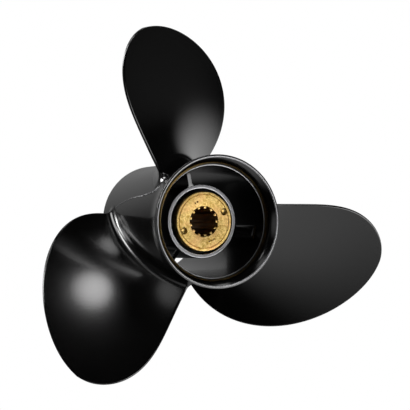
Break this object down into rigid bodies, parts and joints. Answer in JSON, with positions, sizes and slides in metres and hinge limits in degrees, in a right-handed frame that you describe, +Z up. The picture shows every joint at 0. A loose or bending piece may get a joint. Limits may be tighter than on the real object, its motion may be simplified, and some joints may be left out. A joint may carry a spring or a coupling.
{
  "type": "boat propeller",
  "caption": "Right-hand outboard propeller: black blades on a hollow exhaust hub, with a rubber bush and a splined brass sleeve.",
  "frame": {"origin": "centre of the thrust face at the front of the brass sleeve, on the propeller shaft's axis, where the pilot bore begins", "axes": "+Y along the shaft, forwards (the way the boat goes); -Y aft; +Z up; the first blade's tip stands 108.4 degrees from +X towards +Z, seen from aft"},
  "size_m": [0.2549, 0.1206, 0.2538],
  "materials": {
    "black_enamel": "black semi-gloss enamel baked over cast aluminium",
    "rubber": "moulded matt black",
    "brass": "turned, fine grain"
  },
  "bodies": {
    "drive_sleeve": {"splined_sleeve": "brass"},
    "rubber_bush": {"rubber_bush": "rubber"},
    "propeller": {"inner_hub_tube": "black_enamel", "hub_barrel": "black_enamel", "diffuser_ring": "black_enamel", "rib_1": "black_enamel", "rib_2": "black_enamel", "rib_3": "black_enamel", "blade_1": "black_enamel", "blade_2": "black_enamel", "blade_3": "black_enamel"}
  },
  "joints": [
    {"name": "rubber_twist", "type": "hinge", "parent": "drive_sleeve", "child": "rubber_bush", "pos_m": [0, -0.0385, 0], "axis": [0, 1, 0], "range_deg": [-8, 8], "stiffness_Nm_per_rad": 700},
    {"name": "hub_slip", "type": "hinge", "parent": "rubber_bush", "child": "propeller", "pos_m": [0, -0.0385, 0], "axis": [0, 1, 0], "continuous": true}
  ]
}
